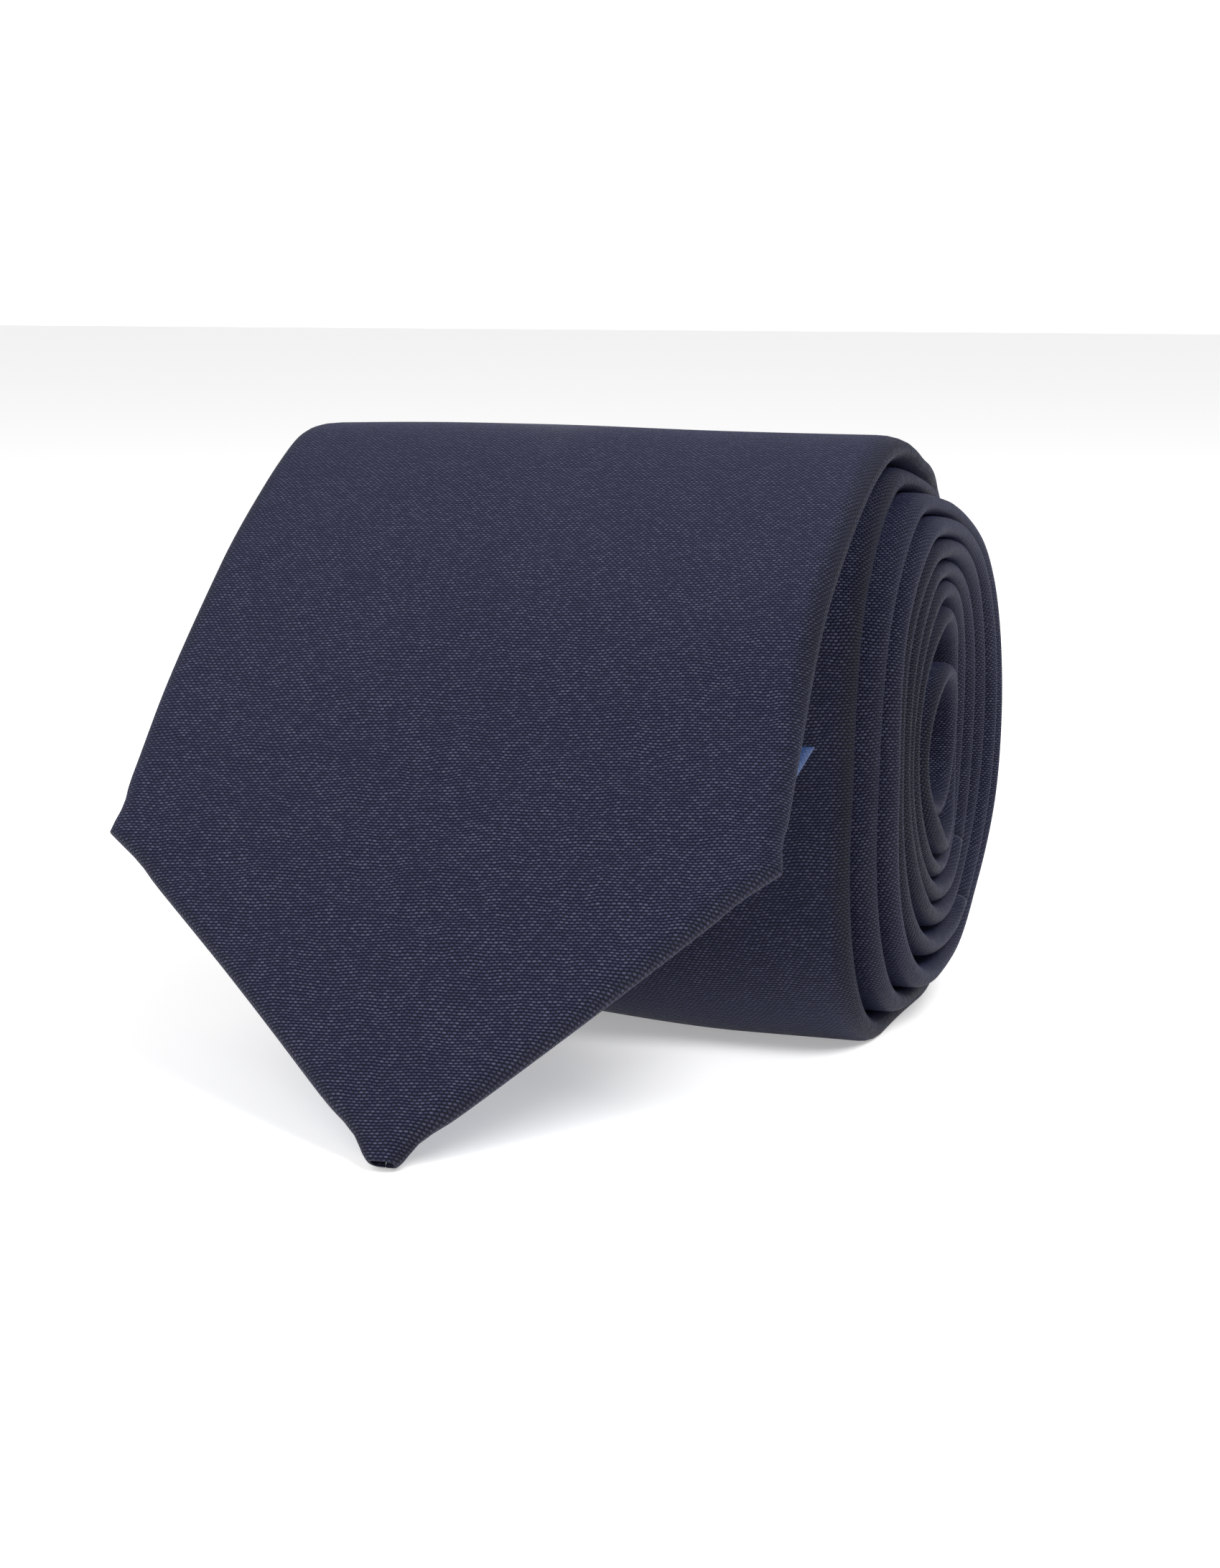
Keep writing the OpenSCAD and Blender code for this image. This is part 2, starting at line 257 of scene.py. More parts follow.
def nub(s):
    """The small hard corners of the point, each with a pinch on either side."""
    def corner(at, out, pinch, reach):
        return (out * np.exp(-((s - at) / 1.5) ** 2) - pinch * np.exp(-((s - at + reach) / 1.7) ** 2)
                - pinch * np.exp(-((s - at - reach) / 1.7) ** 2))
    return corner(POINT_LEN, 0.35, 0.3, 4.0) + corner(0.2, 0.6, 0.5, 3.6)


def right_edge(s, turn):
    """The blade's edge runs from its shoulder to the roll, and the inner laps step out past it."""
    a = 2 * np.pi * turn
    front = ((1 - np.sin(a)) / 2) ** 2
    back = ((1 + np.sin(a)) / 2) ** 2
    drawn = np.clip(turn - 3, 0, 3.5) - 1.5 * smooth(7, 8.2, turn)
    rolled = EDGE_X + EDGE_STEP * smooth(0.5, 2.6, turn) - BACK_DRAW * drawn * back
    rolled = rolled - 0.55 * front * smooth(1, 1.7, turn) - 2.6 * smooth(8.0, 8.8, turn)
    for at, out, reach in EDGE_BUMPS:
        rolled = rolled + out * np.exp(-((turn - at) / reach) ** 2)
    rolled = rolled + 0.16 * np.sin(s / 17.0 + 0.8) + 0.1 * np.sin(s / 7.3)
    free = EDGE_X + (BLADE_W / 2 - EDGE_X) * (CROWN_S - s) / (CROWN_S - POINT_LEN)
    free = free - 0.6 * smooth(90, POINT_LEN, s)
    join = smooth(-0.12, 0.02, turn)
    return free * (1 - join) + rolled * join


def back_opening(s, w):
    """Half the gap between the folds on the back: a V over the blade's point, and at the tail."""
    vee = smooth(-TACK_AT, -LINING_END, -s) * (w / 2 - HEM)
    tail = np.where(TOTAL - s < TAIL_POINT + 12, w / 2 - HEM * 0.7, SLIT)
    return np.minimum(np.maximum(np.maximum(vee, tail), SLIT), np.maximum(w / 2 - 2.2, w * 0.03))


def stations(s):
    """Everything that a ring of the tie needs at each of the lengths s from the blade's tip."""
    s = np.asarray(s, float)
    turn = np.interp(s, PATH_S, PATH_T)
    p = np.stack([np.interp(s, PATH_S, PATH_P[:, k]) for k in (0, 1)], 1)
    d = np.stack([np.interp(s, PATH_S, PATH_D[:, k]) for k in (0, 1)], 1)
    d /= np.linalg.norm(d, axis=1)[:, None]
    n = np.stack([-d[:, 1], d[:, 0]], 1)
    w = tie_width(s)
    full = np.where(s < POINT_LEN, BLADE_W, np.where(TOTAL - s < TAIL_POINT, TAIL_W, w))
    mid = right_edge(s, turn) - full / 2
    mid = np.where(s < POINT_LEN, TIP_X + (mid - TIP_X) * s / POINT_LEN, mid)
    h = np.minimum(half_thickness(s, turn), w * 0.49)
    half = w / 2 + nub(s)
    return {"s": s, "turn": turn, "p": p, "n": n, "left": mid - half, "right": mid + half,
            "mid": mid, "w": w, "h": h, "gap": back_opening(s, w)}


# ---------------------------------------------------------------- how the whole roll settles
noise.seed_set(7)         # the cloth lies the same way each time


def settle(points):
    """Moves points as the real cloth lies: the roll's bottom lifts at the left, the crown bulges a
    little, every surface undulates gently, and nothing goes below the floor."""
    x, y, z = points[:, 0].copy(), points[:, 1].copy(), points[:, 2].copy()
    rolled = smooth(-52, -40, y)
    z += 2.7 * smooth(24, -22, x) * smooth(32, 3, z) * rolled
    z += 0.6 * np.exp(-((x + 12) / 24) ** 2) * smooth(45, 76, z)
    for i in range(len(x)):
        v = noise.noise_vector(Vector((x[i] / 26, y[i] / 30 + 7, z[i] / 30)))
        k = 0.35 * min(1, max(0, z[i] / 8))
        x[i] += v[0] * k * 0.5
        y[i] += v[1] * k
        z[i] += v[2] * k
    return np.stack([x, y, np.maximum(z, 0.02)], 1)


# ---------------------------------------------------------------- meshes
def make_object(name, points, faces, material, uv):
    mesh = bpy.data.meshes.new(name)
    mesh.from_pydata([tuple(v) for v in settle(points) * MM], [], faces)
    mesh.update()
    layer = mesh.uv_layers.new(name="Cloth")
    index = np.zeros(len(mesh.loops), dtype=np.int32)
    mesh.loops.foreach_get("vertex_index", index)
    layer.data.foreach_set("uv", np.asarray(uv, np.float32)[index].ravel())
    mesh.polygons.foreach_set("use_smooth", [True] * len(mesh.polygons))
    mesh.materials.append(material)
    obj = bpy.data.objects.new(name, mesh)
    bpy.context.scene.collection.objects.link(obj)
    return obj


def sweep(name, parts, material):
    """Joins rings of points into closed skins. Each part is (rings, uv), each (m, k, ...)."""
    points, faces, uvs, base = [], [], [], 0
    for rings, uv in parts:
        m, k, _ = rings.shape
        i, j = np.meshgrid(np.arange(m - 1), np.arange(k), indexing="ij")
        a = i * k + j + base
        b = i * k + (j + 1) % k + base
        faces += np.stack([a, a + k, b + k, b], -1).reshape(-1, 4).tolist()
        faces.append(list(range(base, base + k)))
        faces.append(list(range(base + (m - 1) * k, base + m * k))[::-1])
        points.append(rings.reshape(-1, 3))
        uvs.append(uv.reshape(-1, 2))
        base += m * k
    return make_object(name, np.concatenate(points), faces, material, np.concatenate(uvs))


def place(st, sections):
    """Puts sections (m, k, 2), in x and along the outward normal, at their stations. The free end
    is a little twisted, so that its right side stands further forward than its left."""
    x, v = sections[..., 0], sections[..., 1]
    y = st["p"][:, 0, None] + v * st["n"][:, 0, None]
    z = st["p"][:, 1, None] + v * st["n"][:, 1, None]
    twist = 3.4 * smooth(42, 62, z) * (1 - 0.4 * smooth(70, 80, z))
    twist = twist - 1.5 * smooth(45, 32, z) * smooth(0, 30, z)
    y = y - twist * x / (BLADE_W / 2) * smooth(-0.05, -0.22, st["turn"])[:, None]
    return np.stack([x, y, z], -1)


def cloth_uv(st, sections, origin):
    """Distance round the section from the point of index origin, and along the tie."""
    step = np.linalg.norm(np.diff(sections, axis=1), axis=2)
    around = np.concatenate([np.zeros((len(sections), 1)), np.cumsum(step, axis=1)], 1)
    around -= around[:, origin:origin + 1]
    return np.stack([around, np.broadcast_to(st["s"][:, None], around.shape)], -1)


FOLD_STEPS = 9            # points round each fold of a shell, over each half of its back
BACK_STEPS = 7            # and over its face
FACE_STEPS = 30


def shell_section(left, right, h, gap, reach):
    """Half of the section's points go round the outside, from the back's opening over the right
    fold, the front and the left fold, and the others come back along the inside."""
    mid = (left + right) / 2
    reach = min(reach, (right - left) * 0.3)
    turns = np.linspace(-np.pi / 2, np.pi / 2, FOLD_STEPS + 2)[1:-1]
    fold = [(math.cos(a) ** 0.9, math.sin(a)) for a in turns]
    r, l = right - reach, left + reach
    back = np.linspace(0, 1, BACK_STEPS)
    front = np.linspace(0, 1, FACE_STEPS)
    i = h - CLOTH
    inset = max(reach - CLOTH, 0.2)
    outer = ([(mid + gap + (r - mid - gap) * k, -h) for k in back]
             + [(r + reach * c, h * v) for c, v in fold]
             + [(r + (l - r) * k, h) for k in front]
             + [(l - reach * c, -h * v) for c, v in fold]
             + [(l + (mid - gap - l) * k, -h) for k in back])
    inner = ([(mid - gap, -i), (l, -i)] + [(l - inset * c, i * v) for c, v in fold[::2]]
             + [(l, i), (mid, i), (r, i)] + [(r + inset * c, -i * v) for c, v in fold[::2]]
             + [(r, -i), (mid + gap, -i)])
    return np.array(outer + inner)


def shell_sections(st):
    """The folds are soft, and most of all where the blade leaves the roll."""
    reach = st["h"] * (1.5 + 1.2 * np.exp(-((st["turn"] + 0.02) / 0.12) ** 2))
    return np.stack([shell_section(*k) for k in zip(st["left"], st["right"], st["h"], st["gap"], reach)])


def shell(name, s0, s1, material):
    """A length of the folded tube, with a point attribute that marks painted shade for the satin along
    the bent edges.
    """
    s = np.linspace(s0, s1, max(3, int((s1 - s0) / 1.5)))
    if s0 == 0:
        s = np.concatenate([[0, 0.25, 0.6, 1.0], s[1:]])
    if s1 == TOTAL:
        s = np.concatenate([s[:-1], TOTAL - np.array([0.9, 0.5, 0.2, 0])])
    st = stations(s)
    sections = shell_sections(st)
    origin = BACK_STEPS + FOLD_STEPS + FACE_STEPS // 2
    obj = sweep(name, [(place(st, sections), cloth_uv(st, sections, origin))], material)
    # Painted shade along both folds of each ring: full where the roll faces forward, 0.4 of that at its
    # back
    fold_shade = np.sin(np.pi * np.arange(1, FOLD_STEPS + 1) / (FOLD_STEPS + 1))
    fold_shade = fold_shade * (0.4 + 0.6 * smooth(0.5, -0.5, np.sin(2 * np.pi * st["turn"])))[:, None]
    fold = np.zeros(sections.shape[:2])
    fold[:, BACK_STEPS:BACK_STEPS + FOLD_STEPS] = fold_shade
    fold[:, BACK_STEPS + FOLD_STEPS + FACE_STEPS:][:, :FOLD_STEPS] = fold_shade
    # The painted fold shade is halved from about lap 1.9 to lap 3, easing in and out around them
    less_shaded_laps = smooth(1.3, 1.9, st["turn"]) * (1 - smooth(3.0, 4.0, st["turn"]))
    fold *= 1 - 0.5 * less_shaded_laps[:, None]
    obj.data.attributes.new("FoldShade", "FLOAT", "POINT").data.foreach_set("value", fold.ravel())
    return obj


def strip_sections(x0, x1, v0, v1, across):
    """Rounded flat strips: x0, x1, v0 and v1 are arrays over the stations."""
    x0, x1, v0, v1 = [np.asarray(a, float)[:, None] for a in (x0, x1, v0, v1)]
    k = np.linspace(0, 1, across)[None]
    lip = (v1 - v0) * 0.35
    low = np.stack([x0 + (x1 - x0) * k, v0 + 0 * k], -1)
    high = np.stack([x1 + (x0 - x1) * k, v1 + 0 * k], -1)
    low[:, 0, 0] += lip[:, 0]
    low[:, -1, 0] -= lip[:, 0]
    high[:, 0, 0] -= lip[:, 0]
    high[:, -1, 0] += lip[:, 0]
    left = np.concatenate([x0, (v0 + v1) / 2], -1)[:, None]
    right = np.concatenate([x1, (v0 + v1) / 2], -1)[:, None]
    return np.concatenate([low, right, high, left], 1)


def strip_part(s, x0, x1, v0, v1, across):
    """A flat strip from x0 to x1 and from v0 to v1, which are functions of the stations."""
    st = stations(s)
    full = np.ones(len(st["s"]))
    sections = strip_sections(x0(st) * full, x1(st) * full, v0(st) * full, v1(st) * full, across)
    return place(st, sections), cloth_uv(st, sections, across // 2)


def between(a, b, step=2.0):
    return np.linspace(a, b, max(2, int(abs(b - a) / step) + 1))


def tube_part(s, x, v, radius, sides=6):
    """A thread through (x, v) at the lengths s, with thinner ends."""
    st = stations(s)
    a = np.arange(sides) * 2 * np.pi / sides
    r = np.full(len(s), radius)
    r[0] *= 0.4
    r[-1] *= 0.4
    sections = np.stack([np.asarray(x)[:, None] + r[:, None] * np.cos(a),
                         np.asarray(v)[:, None] + r[:, None] * np.sin(a)], -1)
    return place(st, sections), cloth_uv(st, sections, 0)


# ---------------------------------------------------------------- materials
class Nodes:
    """Short calls for building a material's nodes."""

    def __init__(self, name):
        self.material = bpy.data.materials.new(name)
        self.material.use_nodes = True
        self.tree = self.material.node_tree
        self.shader = self.tree.nodes["Principled BSDF"]

    def add(self, kind, **settings):
        node = self.tree.nodes.new(kind)
        for key, value in settings.items():
            setattr(node, key, value)
        return node

    def link(self, value, socket):
        if isinstance(value, bpy.types.NodeSocket):
            self.tree.links.new(value, socket)
        else:
            socket.default_value = value

    def math(self, operation, *values):
        node = self.add("ShaderNodeMath", operation=operation)
        for k, value in enumerate(values):
            self.link(value, node.inputs[k])
        return node.outputs[0]

    def xy(self, x, y, z=0.0):
        node = self.add("ShaderNodeCombineXYZ")
        for k, value in enumerate((x, y, z)):
            self.link(value, node.inputs[k])
        return node.outputs[0]

    def mix(self, factor, a, b):
        node = self.add("ShaderNodeMix", data_type="RGBA")
        self.link(factor, node.inputs[0])
        self.link(a if not isinstance(a, tuple) else (*a, 1), node.inputs[6])
        self.link(b if not isinstance(b, tuple) else (*b, 1), node.inputs[7])
        return node.outputs[2]

    def noise(self, vector, scale, detail):
        node = self.add("ShaderNodeTexNoise")
        self.link(vector, node.inputs["Vector"])
        node.inputs["Scale"].default_value = scale
        node.inputs["Detail"].default_value = detail
        return node.outputs[0]

    def cloth_uv(self):
        uv = self.add("ShaderNodeUVMap", uv_map="Cloth").outputs[0]
        split = self.add("ShaderNodeSeparateXYZ")
        self.link(uv, split.inputs[0])
        return split.outputs[0], split.outputs[1]

    def bump(self, height, strength, distance):
        node = self.add("ShaderNodeBump")
        self.link(height, node.inputs["Height"])
        node.inputs["Strength"].default_value = strength
        node.inputs["Distance"].default_value = distance
        self.link(node.outputs[0], self.shader.inputs["Normal"])


def floats(n, u, v, cell_w, cell_h, shift):
    """Short raised threads in staggered rows: their height from 0 to 1 and a random value each."""
    row_at = n.math("DIVIDE", v, cell_h)
    row = n.math("FLOOR", row_at)
    col_at = n.math("ADD", n.math("DIVIDE", u, cell_w), n.math("MULTIPLY", row, shift))
    col = n.math("FLOOR", col_at)
    across = n.math("SINE", n.math("MULTIPLY", n.math("FRACT", col_at), math.pi))
    along = n.math("SINE", n.math("MULTIPLY", n.math("FRACT", row_at), math.pi))
    height = n.math("MULTIPLY", n.math("POWER", across, 0.6), along)
    white = n.add("ShaderNodeTexWhiteNoise", noise_dimensions="2D")
    n.link(n.xy(col, row), white.inputs["Vector"])
    return height, white.outputs["Value"]


def satin_material():
    """Navy satin: short floats of thread, lighter or darker one by one, partly in their own tone and
    partly as painted glints, with painted shade along the folds.
    """
    n = Nodes("satin")
    u, v = n.cloth_uv()
    wave = n.math("MULTIPLY_ADD", n.noise(n.xy(u, v), 0.16, 2.0), 1.2, n.math("MULTIPLY", u, 0.07))
    height, chance = floats(n, u, n.math("ADD", v, wave), 0.64, 0.38, 0.4)
    # Lighter floats: partly the threads' own random tone, partly painted glints of light off the floats
    tone_and_glint = n.math("POWER", chance, 1.8)
    thread = n.mix(tone_and_glint, (0.0310, 0.0335, 0.0700), (0.0790, 0.0820, 0.1380))
    patch = n.noise(n.xy(u, v), 0.11, 3.0)
    thread = n.mix(n.math("MULTIPLY", patch, 0.35), thread, (0.0160, 0.0180, 0.0520))
    weave = n.math("POWER", height, 2.0)
    colour = n.mix(weave, (0.0020, 0.0026, 0.0090), thread)
    # Painted shade for the folds: near black, a little lighter on the floats
    edge = n.mix(weave, (0.0010, 0.0011, 0.0015), (0.0120, 0.0125, 0.0160))
    fold = n.add("ShaderNodeAttribute", attribute_name="FoldShade").outputs["Fac"]
    # Where the fold mask is set, up to 0.9 of the colour becomes that painted shade
    colour = n.mix(n.math("MULTIPLY", fold, 0.9), colour, edge)
    n.link(colour, n.shader.inputs["Base Color"])
    rough = n.math("ADD", 0.44, n.math("MULTIPLY", chance, 0.16))
    n.link(rough, n.shader.inputs["Roughness"])
    n.shader.inputs["Specular IOR Level"].default_value = 0.10
    n.shader.inputs["Anisotropic"].default_value = 0.5
    n.shader.inputs["Sheen Weight"].default_value = 0.06
    n.shader.inputs["Sheen Roughness"].default_value = 0.35
    n.shader.inputs["Sheen Tint"].default_value = (0.35, 0.42, 1.0, 1)
    n.bump(height, 0.8, 0.0002)
    return n.material


def lining_material():
    n = Nodes("lining")
    u, v = n.cloth_uv()
    height, chance = floats(n, u, v, 0.5, 0.36, 0.5)
    thread = n.mix(chance, (0.030, 0.062, 0.170), (0.060, 0.110, 0.260))
    colour = n.mix(height, (0.018, 0.035, 0.100), thread)
    n.link(colour, n.shader.inputs["Base Color"])
    n.shader.inputs["Roughness"].default_value = 0.38
    n.shader.inputs["Specular IOR Level"].default_value = 0.5
    n.bump(height, 0.4, 0.00008)
    return n.material


def wool_material():
    n = Nodes("interlining")
    u, v = n.cloth_uv()
    fuzz = n.noise(n.xy(u, v), 2.2, 6.0)
    height, chance = floats(n, u, v, 1.1, 1.0, 0.5)
    colour = n.mix(fuzz, (0.42, 0.39, 0.33), (0.72, 0.70, 0.63))
    colour = n.mix(n.math("MULTIPLY", height, 0.5), colour, (0.78, 0.76, 0.70))
    n.link(colour, n.shader.inputs["Base Color"])
    n.shader.inputs["Roughness"].default_value = 0.95
    n.shader.inputs["Sheen Weight"].default_value = 0.3
    n.bump(n.math("ADD", fuzz, height), 0.6, 0.0003)
    return n.material


def thread_material(name, dark, light):
    n = Nodes(name)
    u, v = n.cloth_uv()
    twist = n.math("SINE", n.math("ADD", n.math("MULTIPLY", v, 14.0), n.math("MULTIPLY", u, 8.0)))
    twist = n.math("MULTIPLY_ADD", twist, 0.5, 0.5)
    n.link(n.mix(twist, dark, light), n.shader.inputs["Base Color"])
    n.shader.inputs["Roughness"].default_value = 0.5
    n.bump(twist, 0.5, 0.00006)
    return n.material


def tape_material():
    n = Nodes("tape")
    u, v = n.cloth_uv()
    height, chance = floats(n, u, v, 0.4, 0.4, 0.5)
    thread = n.mix(chance, (0.62, 0.63, 0.66), (0.80, 0.81, 0.83))
    n.link(n.mix(height, (0.50, 0.51, 0.54), thread), n.shader.inputs["Base Color"])
    n.shader.inputs["Roughness"].default_value = 0.6
    n.bump(height, 0.3, 0.00006)
    return n.material


def floor_material():
    n = Nodes("floor")
    tone = n.noise(n.add("ShaderNodeTexCoord").outputs["Object"], 3.0, 2.0)
    n.link(n.mix(tone, (0.83, 0.83, 0.83), (0.85, 0.85, 0.85)), n.shader.inputs["Base Color"])
    n.shader.inputs["Emission Color"].default_value = (1, 1, 1, 1)
    n.shader.inputs["Emission Strength"].default_value = 0.33
    n.shader.inputs["Roughness"].default_value = 0.9
    n.shader.inputs["Specular IOR Level"].default_value = 0.1
    return n.material


SATIN = satin_material()
BLUE = lining_material()
WOOL = wool_material()
THREAD = thread_material("thread", (0.045, 0.060, 0.150), (0.150, 0.190, 0.380))
NAVY_THREAD = thread_material("seam_thread", (0.006, 0.008, 0.020), (0.020, 0.024, 0.050))
TAPE = tape_material()

# ---------------------------------------------------------------- camera
LOOK_DOWN = 9.82
LOOK_LEFT = 18.71
lens = bpy.data.cameras.new("camera")
lens.sensor_fit = "VERTICAL"
lens.sensor_height = 36
lens.lens = 69.2308
camera = bpy.data.objects.new("camera", lens)
camera.location = (0.1319, -0.3984, 0.1014)
camera.rotation_euler = (math.radians(90 - LOOK_DOWN), 0, math.radians(LOOK_LEFT))
bpy.context.scene.collection.objects.link(camera)
bpy.context.scene.camera = camera

# ---------------------------------------------------------------- floor and light
bpy.ops.mesh.primitive_plane_add(size=8, location=(0, 0, 0))
floor = bpy.context.object
floor.name = "floor"
floor.data.materials.append(floor_material())

# The sky is white, brighter towards the horizon than overhead
world = bpy.data.worlds.new("world")
world.use_nodes = True
tree = world.node_tree
background = tree.nodes["Background"]
background.inputs["Color"].default_value = (1, 1, 1, 1)
direction = tree.nodes.new("ShaderNodeSeparateXYZ")
tree.links.new(tree.nodes.new("ShaderNodeTexCoord").outputs["Generated"], direction.inputs[0])
fade = tree.nodes.new("ShaderNodeMapRange")
fade.inputs["From Max"].default_value = 0.35
fade.inputs["To Min"].default_value = 1.25
fade.inputs["To Max"].default_value = 0.62
tree.links.new(direction.outputs["Z"], fade.inputs["Value"])
tree.links.new(fade.outputs["Result"], background.inputs["Strength"])
bpy.context.scene.world = world
bpy.context.scene.view_settings.view_transform = "Standard"


def area_light(name, where, size, watts):
    data = bpy.data.lights.new(name, "AREA")
    data.energy = watts
    data.size = size
    lamp = bpy.data.objects.new(name, data)
    lamp.location = where
    lamp.rotation_euler = (Vector((0, 0, 0.04)) - lamp.location).to_track_quat("-Z", "Y").to_euler()
    bpy.context.scene.collection.objects.link(lamp)


area_light("key", (-0.35, -0.8, 0.75), 0.7, 7)
area_light("side", (0.60, -0.52, 0.85), 0.45, 11)

# ---------------------------------------------------------------- pieces
FREE_TO = length_at(0.5)            # the free end's pieces reach down to half of the first lap
neck_s = length_at(NECK_LAP)
tail_s = length_at(TAIL_LAP)
wool_s = length_at(WOOL_LAP)
loop_s = length_at(LOOP_LAP)
tail_tack_s = length_at(LAPS - 0.75)


def on_roll(obj, slot, node):
    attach(obj, "roll")
    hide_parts(node)


def across_hinge(obj, slot, node):
    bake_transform(obj)
    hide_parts(node)


def on_end(obj, node):
    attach(obj, "blade_end")
    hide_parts(node)


def from_left(inset):
    return lambda st: st["left"] + inset


def from_right(inset):
    return lambda st: st["right"] - inset


def below_back(depth):
    return lambda st: -st["h"] - depth


# The shells, and the seams between them
shells = [("blade_front", 0, FREE_TO, across_hinge, "blade_shell_end"),
          ("blade_rolled", FREE_TO, neck_s - SEAM / 2, on_roll, "blade_shell_roll"),
          ("neck_rolled", neck_s + SEAM / 2, tail_s - SEAM / 2, on_roll, "neck_shell"),
          ("tail_rolled", tail_s + SEAM / 2, TOTAL, on_roll, "tail_shell")]
for name, s0, s1, fix, node in shells:
    piece = shell(name, s0, s1, SATIN)
    fix(piece, "satin", node)

for name, at, node in (("seam_of_blade_and_neck", neck_s, "blade_neck_seam"),
                       ("seam_of_neck_and_tail", tail_s, "neck_tail_seam")):
    st = stations(np.array([at - SEAM / 2, at, at + SEAM / 2]))
    st["h"] = st["h"] - np.array([0.02, 0.06, 0.02])
    sections = shell_sections(st)
    piece = sweep(name, [(place(st, sections), cloth_uv(st, sections, 0))], NAVY_THREAD)
    on_roll(piece, "thread", node)


# The interlining, in two lengths with a seam between them
def wool_top(st):
    return np.minimum(WOOL_H, st["h"] - CLOTH - 0.06)


def wool_strip(s, inset, extra, across):
    return strip_part(s, from_left(inset), from_right(inset), lambda st: -wool_top(st) - extra,
                      lambda st: wool_top(st) + extra, across)


wools = [("interlining_free", 9, FREE_TO, across_hinge, "blade_interlining_end"),
         ("interlining_rolled", FREE_TO, wool_s - 1, on_roll, "blade_interlining_roll"),
         ("interlining_tail", wool_s + 1, TOTAL - 12, on_roll, "tail_interlining")]
for name, s0, s1, fix, node in wools:
    piece = sweep(name, [wool_strip(between(s0, s1), 2.2, 0, 12)], WOOL)
    fix(piece, "interlining", node)

wool_seam = wool_strip(wool_s + np.array([-1.1, 0, 1.1]), 2.4, 0.05, 24)
on_roll(sweep("wool_seam", [wool_seam], THREAD), "thread", "interlining_seam")


# The slip stitch that closes the back
def zigzag(s, reach=0.5, pitch=7.0):
    """A thread that crosses back and forth over the middle of the tie."""
    st = stations(s)
    x = st["mid"] + reach * np.sin(2 * np.pi * s / pitch)
    v = -st["h"] + 0.12 * np.cos(4 * np.pi * s / pitch)
    return tube_part(s, x, v, 0.16)


free_slip = zigzag(between(TACK_AT + 1.5, FREE_TO, 1.0))
across_hinge(sweep("slip_stitch_free", [free_slip], THREAD), "thread", "slip_stitch_end")
roll_slip = zigzag(between(FREE_TO, length_at(8.5), 1.0))
on_roll(sweep("slip_stitch_rolled", [roll_slip], THREAD), "thread", "slip_stitch_roll")


# The blade's lining: its upper right corner has come loose and stands off the back
def tab_lift(st):
    return TAB_LIFT * np.clip((st["s"] - LINING_END + TAB_LEN) / TAB_LEN, 0, 1)


lining_low, lining_high = below_back(ON_BACK + LINING), below_back(ON_BACK)
tab_at = LINING_END - TAB_LEN
body = strip_part(between(LINING_FROM, tab_at, 1.5), from_left(LINING_IN), from_right(LINING_IN),
                  lining_low, lining_high, 24)
upper = strip_part(between(tab_at, LINING_END, 1.0), from_left(LINING_IN),
                   from_right(LINING_IN + TAB_W), lining_low, lining_high, 16)
tab = strip_part(between(tab_at, LINING_END, 0.75), from_right(LINING_IN + TAB_W - 0.4),
                 lambda st: st["right"] - LINING_IN + TAB_LEAN * tab_lift(st),
                 lambda st: lining_low(st) - tab_lift(st), lambda st: lining_high(st) - tab_lift(st), 8)
tipping = sweep("lining_of_blade", [body, upper, tab], BLUE)
on_end(tipping, "blade_tipping")


def stitch(s, x, slant):
    """A short slanted stitch, with its two ends dipping into the cloth."""
    k = np.linspace(-0.5, 0.5, 5)
    at = s + 1.5 * k
    return tube_part(at, x + k * slant, below_back(ON_BACK + LINING + 0.14)(stations(at)) + k ** 2, 0.17)


edge_stitches = []
for s in np.arange(10, LINING_END - 7, 2.4):
    st = stations(np.array([s]))
    edge_stitches.append(stitch(s, st["right"][0] - LINING_IN - 0.35, 0.9))
    edge_stitches.append(stitch(s, st["left"][0] + LINING_IN + 0.35, -0.9))
on_end(sweep("lining_stitches", edge_stitches, THREAD), "tipping_stitches")

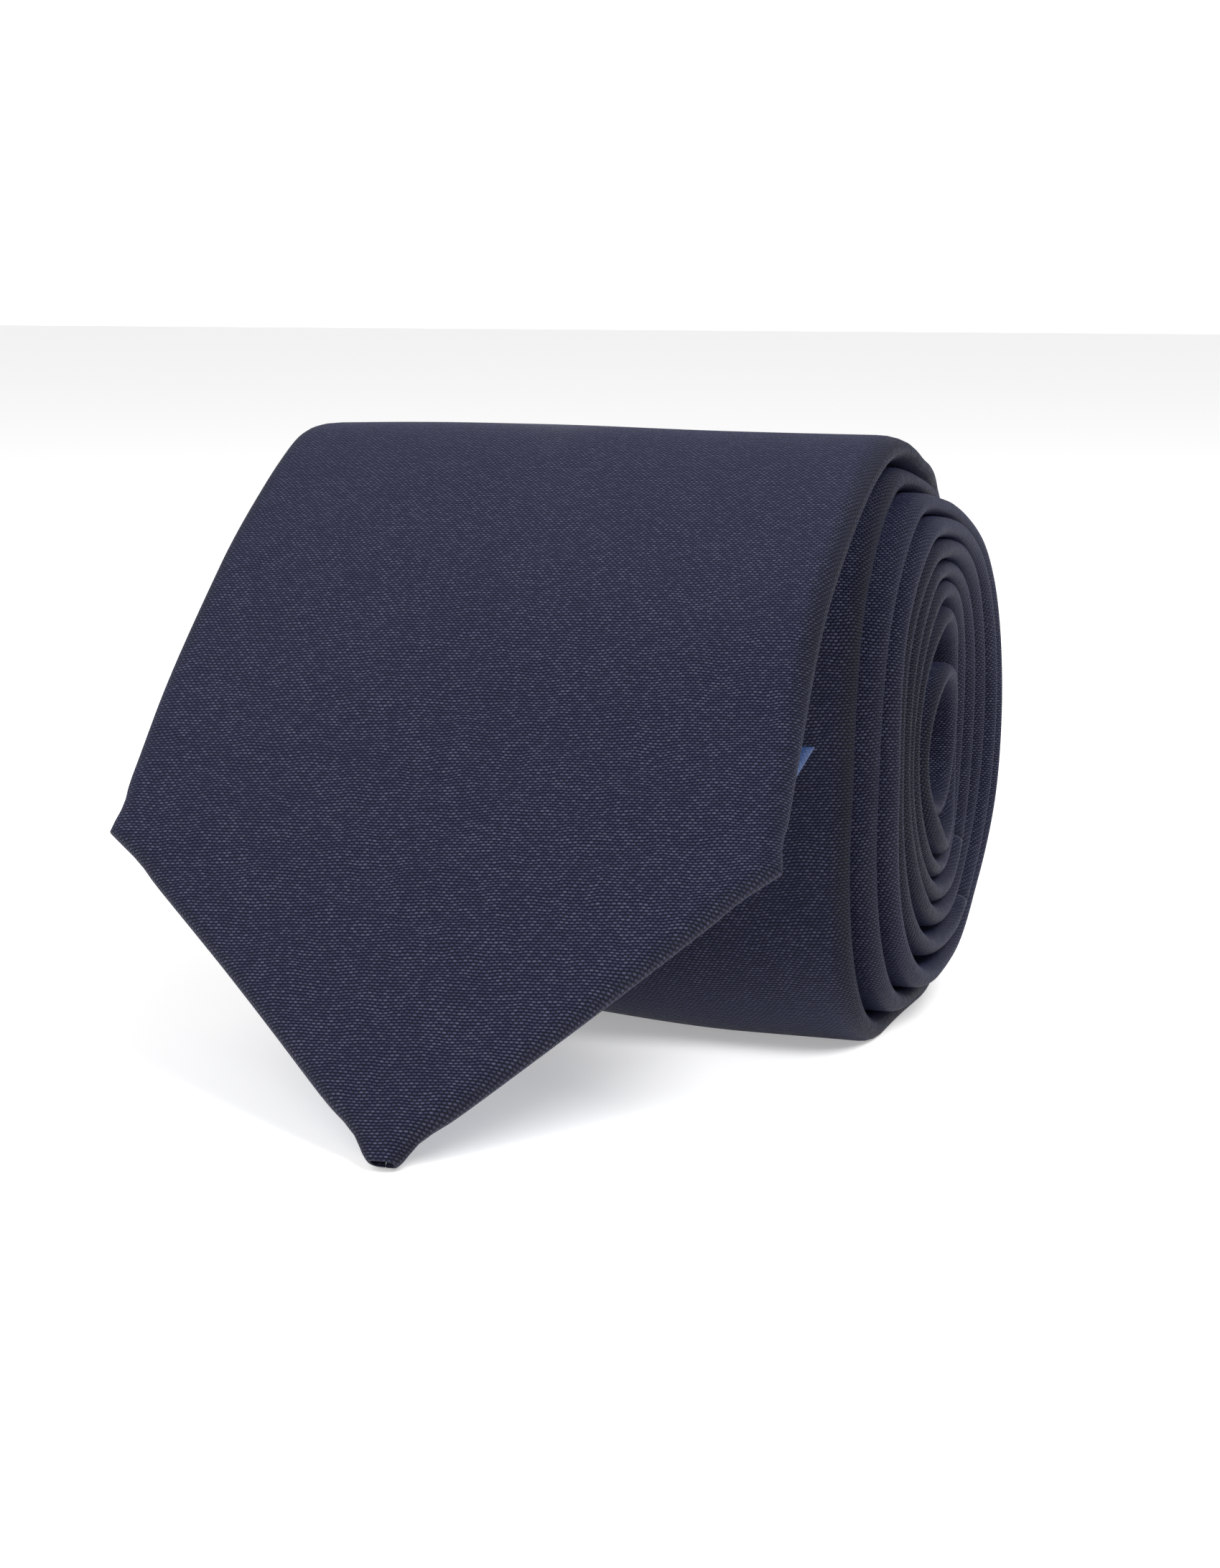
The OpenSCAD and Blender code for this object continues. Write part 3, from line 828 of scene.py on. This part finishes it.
# The blade's bar tack: nine uneven threads under one long one
tack = []
arch = np.linspace(-1.3, 1.3, 6)
for k in range(9):
    at = TACK_AT + 0.35 * math.sin(2.3 * k)
    mid = stations(np.array([at]))["mid"][0]
    s = at + np.linspace(-0.9, 0.9, 6)
    x = mid + (k - 4) * 0.75 + np.linspace(-0.5, 0.5, 6)
    tack.append(tube_part(s, x, below_back(0.16)(stations(s)) - 0.12 * np.cos(arch), 0.17))
s = TACK_AT + np.linspace(-0.05, 0.05, 14)
st = stations(s)
tack.append(tube_part(s, st["mid"] + np.linspace(-3.6, 3.6, 14), below_back(0.42)(st), 0.2))
across_hinge(sweep("blade_tack_threads", tack, THREAD), "thread", "blade_bar_tack")

# The keeper loop, tacked down at both ends
loop_part = strip_part(between(loop_s - LOOP_HALF, loop_s + LOOP_HALF, 0.8), from_left(LOOP_IN),
                       from_right(LOOP_IN), below_back(0.95), below_back(0.3), 24)
on_roll(sweep("keeper_strap", [loop_part], SATIN), "satin", "keeper_loop")

tacks = []
for side in (-1, 1):
    for k in np.arange(-4.5, 5, 1.5):
        s = loop_s + k + np.linspace(-0.3, 0.3, 6)
        st = stations(s)
        edge = st["left"] + LOOP_IN if side < 0 else st["right"] - LOOP_IN
        tacks.append(tube_part(s, edge - side * np.linspace(0.4, 2.4, 6), below_back(0.14)(st), 0.13))
on_roll(sweep("keeper_tacks", tacks, THREAD), "thread", "keeper_loop_tacks")

# The blank care label
label_s = [length_at(t) for t in LABEL_LAPS]
label_part = strip_part(between(*label_s, 1.0), lambda st: LABEL_X[0], lambda st: LABEL_X[1],
                        below_back(0.4), below_back(0.15), 14)
on_roll(sweep("label_tape", [label_part], TAPE), "tape", "care_label")

# The tail's lining and bar tack
tail_part = strip_part(between(length_at(LAPS - 0.55), TOTAL - 3, 1.2), from_left(2.5),
                       lambda st: np.maximum(st["right"] - 2.5, st["left"] + 3.0),
                       below_back(0.35), below_back(0.1), 12)
on_roll(sweep("lining_of_tail", [tail_part], BLUE), "lining", "tail_tipping")

tail_tack = []
for k in range(7):
    s = tail_tack_s + np.linspace(-0.7, 0.7, 5)
    st = stations(s)
    x = st["mid"] + (k - 3) * 0.7 + np.linspace(-0.4, 0.4, 5)
    tail_tack.append(tube_part(s, x, below_back(0.2)(st), 0.15))
on_roll(sweep("tail_tack_threads", tail_tack, THREAD), "thread", "tail_bar_tack")
